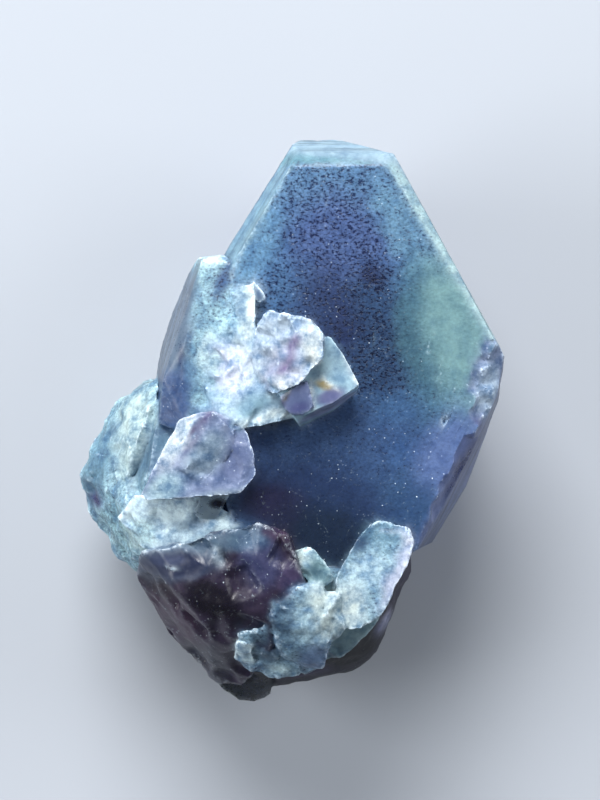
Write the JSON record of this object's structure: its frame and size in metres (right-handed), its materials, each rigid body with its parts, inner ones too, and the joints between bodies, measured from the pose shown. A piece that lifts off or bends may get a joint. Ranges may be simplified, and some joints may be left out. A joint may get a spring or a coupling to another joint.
{
  "type": "fluorite crystal cluster",
  "caption": "Blue-violet fluorite cluster: a flat-faced octahedron with intergrown frosted and broken crystals, lying on a flat cleavage face.",
  "frame": {"origin": "on the flat back that the cluster rests on, under the middle of its bounding box", "axes": "+Z out of the broad front face, +Y towards the crown of the big octahedron, +X towards its right corner"},
  "size_m": [0.0429, 0.0573, 0.0266],
  "materials": {
    "fluorite": "etched and broken crystal, frosted in places"
  },
  "bodies": {
    "root": {"fluorite_cluster": "fluorite"}
  },
  "joints": []
}
